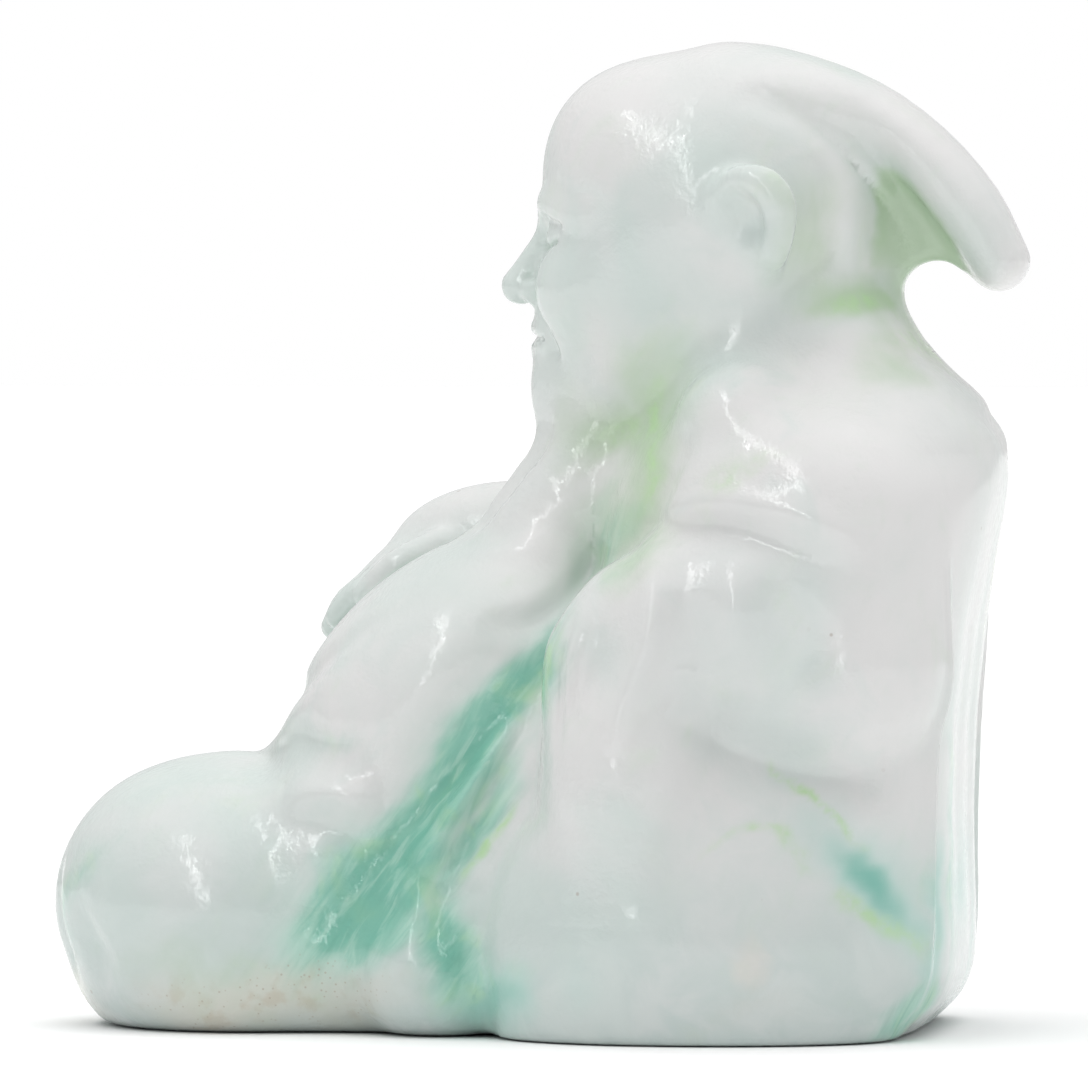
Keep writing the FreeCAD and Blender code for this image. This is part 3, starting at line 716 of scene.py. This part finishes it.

# --------------------------------------------------------------------- the stains, painted light and painted shade

# Colour laid on the stone, its own stains and also painted light and painted shade: kind, the side that
# it is seen from, its path (y and z for the left and right, x and z for the back and front), width,
# strength.
STAINS = (
    # cool grey painted shade: in the creases, beside the jaw, behind the ear, under the elbow and along
    # the foot
    ("grey_shade", "left", ((-26.0, 4.4), (-14.0, 2.6), (0.0, 2.0), (14.0, 2.6), (24.0, 3.0)), 3.6, 0.7),
    ("grey_shade", "left", ((4.0, 54.0), (7.0, 49.0), (8.6, 44.0)), 3.4, 0.6),
    ("grey_shade", "left", ((15.0, 51.8), (15.4, 49.4)), 1.6, 0.7),
    ("grey_shade", "left", ((10.6, 20.6), (16.0, 17.6), (25.0, 16.0)), 1.6, 0.45),
    ("grey_shade", "left", ((7.0, 27.0), (6.6, 22.0)), 1.6, 0.4),
    ("grey_shade", "left", ((12.4, 25.0), (11.0, 20.0)), 1.6, 0.4),
    ("grey_shade", "left", ((20.0, 26.0), (20.8, 21.0)), 2.2, 0.5),
    ("grey_shade", "left", ((-28.0, 12.0), (-24.0, 7.0), (-16.0, 5.0)), 3.2, 0.5),
    ("grey_shade", "left", ((8.6, 14.0), (9.6, 7.0), (12.0, 4.0)), 4.0, 0.6),
    ("grey_shade", "left", ((2.0, 11.0), (2.4, 5.0), (4.0, 0.0)), 3.2, 0.8),
    ("grey_shade", "left", ((-31.0, 8.0), (-27.0, 2.6), (-18.0, 1.0)), 3.0, 0.9),
    ("grey_shade", "right", ((-26.0, 4.0), (0.0, 2.4), (24.0, 3.0)), 3.6, 0.7),
    ("grey_shade", "back", ((-12.0, 3.0), (12.0, 3.0)), 3.4, 0.7),
    # the green groove from the jaw down to the front robe, and its branch
    ("green", "left", ((4.4, 28.6), (1.0, 23.6), (-3.4, 17.8), (-8.0, 12.0), (-12.6, 7.6)), 2.0, 1.35),
    ("green", "left", ((-3.0, 14.6), (-9.0, 9.2), (-16.4, 3.8)), 3.0, 1.5),
    ("green", "left", ((-12.0, 6.0), (-8.4, 6.6), (-4.6, 9.0)), 1.5, 0.9),
    ("sage", "left", ((-27.0, 6.0), (-20.0, 4.0), (-14.0, 5.6)), 1.9, 0.4),
    ("green", "left", ((0.6, 19.4), (-1.8, 14.8), (-4.6, 9.4), (-8.4, 6.4)), 1.3, 0.8),
    ("green", "left", ((-5.4, 10.0), (-4.4, 5.4), (-1.6, 2.2)), 2.2, 1.1),
    ("teal", "left", ((-4.4, 4.8), (-1.4, 2.6), (2.4, 2.2)), 2.6, 0.95),
    ("teal", "left", ((-8.0, 12.6), (-12.6, 9.6)), 2.2, 0.7),
    ("green", "left", ((6.8, 35.0), (5.8, 31.6), (4.4, 28.0)), 1.8, 0.45),
    ("sage", "left", ((8.2, 37.0), (6.8, 32.6), (4.6, 28.6)), 2.8, 0.9),
    ("sage", "left", ((8.6, 46.0), (8.4, 41.0), (7.8, 36.0), (6.4, 31.0)), 2.8, 0.95),
    ("sage", "left", ((11.0, 39.2), (6.0, 38.6), (0.0, 37.6)), 2.6, 0.9),
    ("lime", "left", ((9.2, 42.6), (8.2, 39.0), (8.4, 36.0), (7.4, 32.0)), 0.9, 0.9),
    ("lime", "left", ((9.0, 38.4), (5.6, 38.2), (2.6, 37.6)), 1.3, 0.6),
    ("sage", "left", ((26.0, 45.4), (21.4, 47.0), (16.4, 47.2)), 1.6, 1.1),
    ("lime", "left", ((23.4, 46.4), (20.4, 46.6), (17.0, 46.2)), 1.0, 0.7),
    ("sage", "left", ((27.4, 40.6), (24.0, 42.6), (20.0, 43.6)), 1.6, 0.6),
    ("lime", "left", ((11.6, 33.8), (14.4, 35.8), (18.0, 37.4)), 1.0, 0.45),
    ("sage", "wall", ((16.0, 60.0), (19.8, 56.2), (22.4, 53.0), (24.6, 49.6), (23.8, 43.4)), 3.0, 1.5),
    ("sage", "left", ((16.0, 56.0), (18.2, 51.6), (17.2, 45.6)), 2.2, 0.6),
    # painted light: a lighter band down the back corner, where light falls
    ("painted_light", "left", ((19.0, 45.0), (24.6, 39.0), (27.4, 31.0), (27.4, 18.0)), 4.3, 1.1),
    # painted shade under the elbow
    ("grey_shade", "left", ((11.0, 21.6), (17.0, 19.4), (23.0, 20.4)), 2.6, 0.6),
    ("teal", "left", ((3.0, 5.0), (6.8, 2.6)), 2.4, 0.35),
    # painted shade across the lower half of the sleeve
    ("grey_shade", "left", ((8.6, 30.4), (15.0, 27.0), (22.6, 24.0)), 6.0, 0.45),
    # painted light: lighter along the skull's rim, over the crown and the tail on both sides, and down
    # the beard
    ("painted_light", "left", ((18.6, 58.0), (19.6, 53.0), (19.4, 47.0)), 2.2, 0.8),
    ("painted_light", "left", ((2.0, 58.0), (10.0, 61.0), (20.0, 60.0), (27.0, 55.0), (31.0, 47.0)), 3.2, 1.0),
    ("painted_light", "left", ((7.0, 40.0), (3.4, 33.6), (-3.0, 26.0)), 3.2, 1.25),
    ("painted_light", "right", ((2.0, 58.0), (10.0, 61.0), (20.0, 60.0), (27.0, 55.0), (31.0, 47.0)), 3.2, 1.0),
    ("lime", "left", ((-0.2, 15.8), (-1.6, 12.4), (-3.2, 9.6)), 0.35, 1.0),
    ("lime", "left", ((5.0, 30.2), (2.2, 24.2), (0.0, 20.4)), 0.5, 0.5),
    ("lime", "left", ((16.6, 18.6), (18.6, 16.2), (20.4, 14.4), (22.6, 12.2)), 0.32, 0.9),
    ("lime", "left", ((11.6, 11.6), (14.4, 13.6), (17.0, 13.1), (20.0, 10.4)), 0.5, 0.65),
    ("teal", "left", ((15.6, 14.6), (20.6, 12.8), (24.2, 9.8), (27.0, 4.6)), 2.5, 0.6),
    ("teal", "left", ((18.4, 14.0), (21.6, 11.8), (23.8, 9.4), (26.4, 4.8)), 1.5, 1.15),
    ("lime", "left", ((20.6, 10.4), (23.0, 8.0), (26.6, 5.4)), 0.6, 0.85),
    ("teal", "back", ((-5.0, 10.6), (3.0, 9.4), (10.6, 8.0)), 3.6, 0.8),
    ("green", "back", ((13.4, -0.6), (11.4, 2.2), (8.6, 4.4)), 1.7, 0.9),
    ("green", "left", ((23.0, -0.4), (25.2, 1.8), (27.6, 5.0)), 1.2, 0.8),
    ("teal", "back", ((11.0, 15.0), (11.4, 8.0), (11.0, 1.0)), 2.0, 0.9),
    ("green", "left", ((-15.6, 20.4), (-12.0, 18.2), (-8.0, 18.4)), 1.0, 0.28),
    ("earth", "left", ((-27.0, 1.4), (-19.0, 1.8), (-11.0, 3.0), (-5.0, 1.6)), 2.5, 1.0),
    ("earth", "left", ((10.0, 0.4), (16.0, 2.4), (22.0, 2.0)), 1.8, 0.35),
    ("blush", "left", ((14.0, 5.4), (18.4, 5.0)), 3.0, 0.8),
    ("blush", "left", ((-24.0, 14.0), (-18.0, 15.0)), 2.4, 0.4),
    # the other sides, in the same manner
    ("green", "right", ((6.0, 33.0), (0.0, 24.0), (-6.0, 18.0), (-12.0, 10.0)), 1.5, 0.55),
    ("teal", "right", ((-2.0, 13.0), (-6.0, 7.0), (-9.0, 2.0)), 2.4, 0.7),
    ("lime", "right", ((12.0, 17.6), (6.0, 15.0), (1.0, 15.6)), 0.5, 0.8),
    ("lime", "right", ((22.0, 46.4), (17.6, 46.6), (11.0, 43.0), (8.0, 38.6)), 1.2, 0.7),
    ("teal", "right", ((18.0, 13.0), (22.0, 7.0)), 1.7, 0.6),
    ("earth", "right", ((-24.0, 1.6), (-12.0, 2.6), (2.0, 1.4)), 1.8, 0.8),
    ("green", "back", ((10.0, 22.0), (7.0, 15.0), (8.0, 8.0), (5.0, 2.0)), 1.6, 0.55),
    ("teal", "back", ((11.4, 14.0), (11.6, 6.0)), 1.8, 0.6),
    ("lime", "back", ((-8.6, 37.0), (-5.0, 30.0), (-6.4, 22.0)), 0.5, 0.7),
    ("teal", "back", ((-9.0, 12.0), (-4.0, 6.0), (-5.0, 1.0)), 2.0, 0.5),
    ("lime", "back", ((-6.0, 45.0), (0.0, 43.6), (6.0, 45.0)), 1.4, 0.7),
    ("green", "front", ((10.6, 13.0), (6.0, 8.0), (5.4, 2.4)), 1.5, 0.4),
    ("teal", "front", ((-9.4, 10.0), (-6.0, 5.0), (-7.0, 1.0)), 1.8, 0.5),
    ("lime", "front", ((-9.0, 25.0), (-4.0, 21.6), (2.0, 20.6)), 0.6, 0.5),
    ("earth", "front", ((-9.0, 1.6), (0.0, 2.2), (9.0, 1.6)), 1.8, 0.9),
)
KINDS = ("painted_light", "grey_shade", "sage", "green", "teal", "lime", "earth", "blush")


def wander(p, reach, size):
    """Points moved about by up to reach, in smooth curls about size across."""
    turns = p * (2 * math.pi / size)
    a, b, c = turns[:, 0], turns[:, 1], turns[:, 2]
    sway = [np.sin(b + 1.7 * c), np.sin(c + 0.6 * a + 1.3), np.sin(b - 0.8 * c + 0.5 * a)]
    return p + reach * np.stack(sway, 1)


def stain_layers(p, n):
    """How much of each kind of stain, painted light and painted shade is at each skin point, 0 to 1."""
    p = wander(wander(p, 0.5, 9.0), 0.12, 2.3)
    x, y, z = p[:, 0], p[:, 1], p[:, 2]
    sides = {
        "left": (y, z, np.clip((x - 0.5) / 2.5, 0, 1) * np.clip(n[:, 0] * 3.0, 0, 1)),
        "right": (y, z, np.clip((-x - 0.5) / 2.5, 0, 1) * np.clip(-n[:, 0] * 3.0, 0, 1)),
        "back": (x, z, np.clip((y - 20.0) / 4.0, 0.0, 1.0) * np.clip(2.0 * n[:, 1], 0, 1)),
        "wall": (y, z, np.clip((3.4 - np.abs(x)) / 1.4, 0, 1)),
        "front": (x, z, np.clip((-10.0 - y) / 4.0, 0.0, 1.0) * np.clip(-2.0 * n[:, 1], 0, 1)),
    }
    layers = {kind: np.zeros(len(p), np.float32) for kind in KINDS}
    for kind, side, path, width, strength in STAINS:
        u, v, mask = sides[side]
        cover = stroke(u, v, path, width) * mask * strength
        layers[kind] = np.maximum(layers[kind], cover)
    # painted shade: greyer towards the underside, fading out about 11 mm up
    layers["grey_shade"] = np.maximum(layers["grey_shade"], 1.1 * np.exp(-((z / 11.0) ** 2)))
    layers["polish"] = np.clip(2.0 * n[:, 1] - 0.8, 0.0, 1.0)
    return layers


HOLLOW_REACH = 1.8  # how far over the skin a point looks for other stone
layers = stain_layers(vertices, normals)
# painted shade: the nearer other stone lies over a skin point, the more grey-green shade is painted
# there
layers["hollow_shade"] = np.clip(1.0 - field_at(vertices + normals * HOLLOW_REACH) / HOLLOW_REACH, 0, 1)

# ------------------------------------------------------------------- the material

jade = bpy.data.materials.new("jade")
jade.use_nodes = True
nodes, links = jade.node_tree.nodes, jade.node_tree.links


def node(kind, *values, **settings):
    """A shader node. A value is a number, colour, vector or another node's output."""
    made = nodes.new("ShaderNode" + kind)
    for key, setting in settings.items():
        setattr(made, key, setting)
    for name, value in values:
        if isinstance(value, bpy.types.NodeSocket):
            links.new(value, made.inputs[name])
        else:
            made.inputs[name].default_value = value
    return made


def sums(operation, a, b):
    return node("Math", (0, a), (1, b), operation=operation).outputs[0]


def between(value, low, high, bottom=0.0, top=1.0):
    """A smooth step from bottom to top as the value goes from low to high."""
    step = node(
        "MapRange",
        ("Value", value),
        ("From Min", low),
        ("From Max", high),
        ("To Min", bottom),
        ("To Max", top),
        interpolation_type="SMOOTHSTEP",
    )
    return step.outputs[0]


def noise(place, size, detail=3.0, bend=0.0):
    """Noise whose lumps are about size millimetres across."""
    made = node(
        "TexNoise",
        ("Vector", place),
        ("Scale", 1.0 / size),
        ("Detail", detail),
        ("Distortion", bend),
    )
    return made.outputs[0]


def over(colour, paint, amount):
    """Paint laid over a colour, as far as the amount says."""
    mix = node("Mix", (0, amount), data_type="RGBA")
    for index, value in ((6, colour), (7, paint)):
        if isinstance(value, bpy.types.NodeSocket):
            links.new(value, mix.inputs[index])
        else:
            mix.inputs[index].default_value = (*value, 1.0)
    return mix.outputs[2]


def layer(name):
    return node("Attribute", attribute_name=name).outputs["Fac"]


# The stone's colours, with those of the painted light and the painted shade.
MILKY, COOL = (0.755, 0.75, 0.745), (0.65, 0.72, 0.69)
MILKY_WISP, COOL_WISP = (0.79, 0.785, 0.78), (0.62, 0.69, 0.665)
# the first of these three is painted light, the other two are painted shade
PAINTED_LIGHT_WHITE, PAINTED_SHADE_GREY, PAINTED_HOLLOW_SHADE = (0.80, 0.795, 0.79), (0.56, 0.64, 0.62), (0.56, 0.67, 0.60)
BLUSH, SAGE, LIME = (0.80, 0.71, 0.66), (0.48, 0.62, 0.44), (0.48, 0.71, 0.38)
EARTH, DARK_EARTH = (0.68, 0.67, 0.59), (0.62, 0.56, 0.45)
TEAL, DEEP_TEAL = (0.42, 0.68, 0.61), (0.22, 0.52, 0.44)
GREEN, STREAK_GREEN, WARM_GREEN = (0.38, 0.67, 0.55), (0.24, 0.54, 0.43), (0.44, 0.70, 0.46)
DEEP_GREEN, LIGHT_GREEN, DARK_GREEN = (0.17, 0.46, 0.36), (0.50, 0.75, 0.64), (0.16, 0.43, 0.33)
GRAIN, PIT = (0.42, 0.37, 0.33), (0.40, 0.33, 0.24)
RELIEF = 0.00003  # metres of relief for each unit of height
JADE_IOR = 1.6

metres = node("TexCoord").outputs["Object"]
place = node("VectorMath", (0, metres), (1, (PER_METRE,) * 3), operation="MULTIPLY").outputs[0]
# streaks that run steeply forward and down, as the carver's grooves do
along = node(
    "Mapping",
    ("Vector", place),
    ("Rotation", (math.radians(-33), 0, 0)),
    ("Scale", (1.0, 1.0, 5.0)),
    vector_type="TEXTURE",
)
streaks = noise(along.outputs[0], 1.3, 5.0, 0.5)
clouds = noise(place, 13.0, 2.0, 0.6)
wisps = noise(place, 4.2, 4.0, 0.7)
grain = noise(place, 0.5, 3.0)

stone = over(MILKY, COOL, between(clouds, 0.36, 0.64))
stone = over(stone, MILKY_WISP, between(wisps, 0.50, 0.78, 0.0, 0.5))
stone = over(stone, COOL_WISP, between(wisps, 0.48, 0.24, 0.0, 0.5))
# painted light: the lighter bands laid over the stone where light falls
stone = over(stone, PAINTED_LIGHT_WHITE, sums("MULTIPLY", layer("painted_light"), 0.9))
# painted shade in the hollows and creases
stone = over(stone, PAINTED_HOLLOW_SHADE, between(layer("hollow_shade"), 0.30, 1.0, 0.0, 0.6))
# painted shade: grey laid over the stone in the creases and towards the foot, broken up by wisps
grey_shade = sums("MULTIPLY", layer("grey_shade"), between(wisps, 0.25, 0.6, 0.35, 0.9))
stone = over(stone, PAINTED_SHADE_GREY, grey_shade)


def ragged(name, low, high, streaky=0.4, wispy=0.6):
    """A stain's cover, its edge broken up by streaks and wisps."""
    cover = layer(name)
    cover = sums("ADD", cover, sums("MULTIPLY", sums("SUBTRACT", streaks, 0.5), streaky))
    cover = sums("ADD", cover, sums("MULTIPLY", sums("SUBTRACT", wisps, 0.5), wispy))
    return between(cover, low, high)


blush = sums("MULTIPLY", layer("blush"), wisps)
stone = over(stone, BLUSH, between(blush, 0.2, 0.5, 0.0, 0.4))
earth = over(EARTH, DARK_EARTH, between(noise(place, 1.6, 4.0), 0.5, 0.7))
stone = over(stone, earth, sums("MULTIPLY", ragged("earth", 0.1, 1.0, 0.2, 0.7), 0.75))
stone = over(stone, SAGE, sums("MULTIPLY", ragged("sage", 0.0, 1.1, 0.15, 0.5), 0.9))
teal = over(TEAL, DEEP_TEAL, between(layer("teal"), 0.5, 1.3))
stone = over(stone, teal, ragged("teal", 0.0, 1.2, 0.08, 0.25))
green = over(GREEN, STREAK_GREEN, between(streaks, 0.36, 0.70))
green = over(green, WARM_GREEN, between(wisps, 0.50, 0.68, 0.0, 0.8))
green = over(green, DEEP_GREEN, between(layer("green"), 0.5, 1.3, 0.0, 0.8))
mottle = noise(along.outputs[0], 0.8, 4.0, 0.5)
green = over(green, LIGHT_GREEN, between(mottle, 0.50, 0.70, 0.0, 0.45))
green = over(green, DARK_GREEN, between(mottle, 0.46, 0.30, 0.0, 0.4))
stone = over(stone, green, ragged("green", 0.0, 1.0, 0.3, 0.45))
patchy = between(noise(place, 1.2), 0.36, 0.62, 0.3, 0.9)
stone = over(stone, LIME, sums("MULTIPLY", ragged("lime", 0.0, 1.1, 0.35, 0.5), patchy))

# a few small dark grains all over the stone, and pits close together along its foot
grains = node("TexVoronoi", ("Vector", place), ("Scale", 0.3))
chosen = node("SeparateColor", ("Color", grains.outputs["Color"]))
dot = between(grains.outputs["Distance"], 0.055, 0.03)
dot = sums("MULTIPLY", dot, between(chosen.outputs[0], 0.7, 0.75))
stone = over(stone, GRAIN, sums("MULTIPLY", dot, 0.6))
pits = node("TexVoronoi", ("Vector", place), ("Scale", 2.3))
pit = sums("MULTIPLY", between(pits.outputs["Distance"], 0.22, 0.10), between(layer("earth"), 0.3, 0.8))
stone = over(stone, PIT, sums("MULTIPLY", pit, 0.5))

# the worn polish: orange peel, dimples and broad waves, rougher in the green and
# smoother on the back
peel = noise(place, 0.34, 2.0)
wear = noise(place, 2.4, 2.0)
height = sums("MULTIPLY", peel, between(wear, 0.4, 0.6, 0.4, 1.0))
height = sums("ADD", height, sums("MULTIPLY", wear, 1.5))
height = sums("ADD", height, sums("MULTIPLY", noise(place, 0.95, 2.0), 0.8))
strength = between(layer("polish"), 0.0, 1.0, 1.0, 0.25)
height = sums("MULTIPLY", height, between(layer("green"), 0.4, 1.2, 1.0, 1.5))
relief = node("Bump", ("Height", height), ("Distance", RELIEF), ("Strength", strength))
shader = nodes["Principled BSDF"]
links.new(stone, shader.inputs["Base Color"])
links.new(relief.outputs[0], shader.inputs["Normal"])
links.new(between(grain, 0.3, 0.7, 0.10, 0.2), shader.inputs["Roughness"])
shader.inputs["IOR"].default_value = JADE_IOR

# --------------------------------------------------------------------- the pieces


def make_piece(name, rings, from_skin):
    """A closed piece from rings of vertices, shaded as part of the one smooth skin."""
    used, rings = np.unique(rings, return_inverse=True)
    rings = rings.reshape(-1, 4)
    mesh = bpy.data.meshes.new(name)
    mesh.vertices.add(len(used))
    places = (ORIGIN + vertices[used] * UNIT) * MM
    mesh.vertices.foreach_set("co", places.astype(np.float32).ravel())
    mesh.loops.add(rings.size)
    mesh.loops.foreach_set("vertex_index", rings.astype(np.int32).ravel())
    mesh.polygons.add(len(rings))
    mesh.polygons.foreach_set("loop_start", np.arange(0, rings.size, 4, dtype=np.int32))
    mesh.update(calc_edges=True)
    mesh.polygons.foreach_set("use_smooth", np.ones(len(rings), bool))
    for kind, amount in layers.items():
        channel = mesh.attributes.new(kind, "FLOAT", "POINT")
        channel.data.foreach_set("value", amount[used].astype(np.float32))
    flat = np.zeros(len(rings) * 3, np.float32)
    mesh.polygons.foreach_get("normal", flat)
    shading = np.repeat(flat.reshape(-1, 1, 3), 4, 1)
    shading[from_skin] = normals[used][rings[from_skin]]
    mesh.normals_split_custom_set(shading.reshape(-1, 3))
    mesh.materials.append(jade)
    piece = bpy.data.objects.new(name, mesh)
    bpy.context.scene.collection.objects.link(piece)
    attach(piece, "root")
    return piece


TURNED = [0, 3, 2, 1]  # a quad the other way round, from the same corner
for number, name in enumerate(REGIONS, 1):
    behind, before = sides[:, 0] == number, sides[:, 1] == number
    rings = np.concatenate([faces[behind], faces[before][:, TURNED]])
    piece = make_piece("stone_" + name, rings, np.concatenate([skin[behind], skin[before]]))
    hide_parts(name)

# ------------------------------------------------------------------------ stage


def strip_light(name, low_end, high_end, width, power):
    """A long soft light between two places, given from the target, and facing it."""
    low_end, high_end = Vector(low_end), Vector(high_end)
    up = (high_end - low_end).normalized()
    middle = (low_end + high_end) / 2
    out = (middle - up * middle.dot(up)).normalized()
    light = bpy.data.lights.new(name, "AREA")
    light.shape = "RECTANGLE"
    light.size, light.size_y = width, (high_end - low_end).length
    light.energy = power
    lamp = bpy.data.objects.new(name, light)
    lamp.location = target + middle
    lamp.rotation_euler = Matrix((up.cross(out), up, out)).transposed().to_euler()
    bpy.context.scene.collection.objects.link(lamp)


VIEW_TURN, VIEW_RISE, VIEW_DISTANCE, VIEW_LENS = 98.0, 1.5, 0.8, 411.6
VIEW_HEIGHT = 0.03098  # metres from the underside up to the place that is looked at
FLOOR_REACH, FLOOR_GAP, FLOOR_WHITE = 3.0, 0.00005, 0.96
TENT_AXIS = (0.88, -0.15, -0.35)  # roughly towards the viewer, and a little down
SKY_POWER, SKY_SPREAD = 1.95, 70
turn, rise = math.radians(VIEW_TURN), math.radians(VIEW_RISE)
back = Vector((math.sin(turn) * math.cos(rise), -math.cos(turn) * math.cos(rise), math.sin(rise)))
target = Vector(ORIGIN * MM) + Vector((0, 0, VIEW_HEIGHT * UNIT))
camera = bpy.data.objects.new("camera", bpy.data.cameras.new("camera"))
camera.data.lens = VIEW_LENS
camera.data.clip_start = 0.01
camera.location = target + back * VIEW_DISTANCE
camera.rotation_euler = (-back).to_track_quat("-Z", "Y").to_euler()
bpy.context.scene.collection.objects.link(camera)
bpy.context.scene.camera = camera

floor_mesh = bpy.data.meshes.new("floor")
corners = [(i * FLOOR_REACH, j * FLOOR_REACH, 0) for i, j in ((-1, -1), (1, -1), (1, 1), (-1, 1))]
floor_mesh.from_pydata(corners, [], [(0, 1, 2, 3)])
floor = bpy.data.objects.new("floor", floor_mesh)
floor.location.z = ORIGIN[2] * MM - FLOOR_GAP
bpy.context.scene.collection.objects.link(floor)
paper = bpy.data.materials.new("floor_paper")
paper.use_nodes = True
sheet = paper.node_tree.nodes["Principled BSDF"]
sheet.inputs["Base Color"].default_value = (FLOOR_WHITE, FLOOR_WHITE, FLOOR_WHITE, 1)
sheet.inputs["Roughness"].default_value = 1.0
sheet.inputs["Specular IOR Level"].default_value = 0.0
floor.data.materials.append(paper)

# a white surround to the eye, and for light a tent that dims towards the viewer and is
# brightest straight behind the figure
world = bpy.data.worlds.new("studio")
world.use_nodes = True
nodes, links = world.node_tree.nodes, world.node_tree.links
tent = nodes["Background"]
tent.inputs["Color"].default_value = (1, 1, 1, 1)
backdrop = node("Background", ("Color", (1, 1, 1, 1)))
direction = node("TexCoord").outputs["Generated"]
facing = node("VectorMath", (0, direction), (1, TENT_AXIS), operation="DOT_PRODUCT")
around = between(facing.outputs["Value"], -0.2, 1.0, 0.50, 0.24)
straight_behind = between(facing.outputs["Value"], -0.4, -0.9, 0.0, 0.22)
links.new(sums("ADD", around, straight_behind), tent.inputs["Strength"])
seen = node("LightPath").outputs["Is Camera Ray"]
either = node("MixShader", (0, seen), (1, tent.outputs[0]), (2, backdrop.outputs[0]))
links.new(either.outputs[0], nodes["World Output"].inputs["Surface"])
bpy.context.scene.world = world
strip_light("softbox", (0.54, -0.08, 0.03), (0.12, -0.24, 0.50), width=0.02, power=0.35)
sky = bpy.data.lights.new("sky", "SUN")
sky.energy = SKY_POWER
sky.angle = math.radians(SKY_SPREAD)
skylight = bpy.data.objects.new("sky", sky)
skylight.visible_glossy = False
bpy.context.scene.collection.objects.link(skylight)
bpy.context.scene.view_settings.view_transform = "Standard"
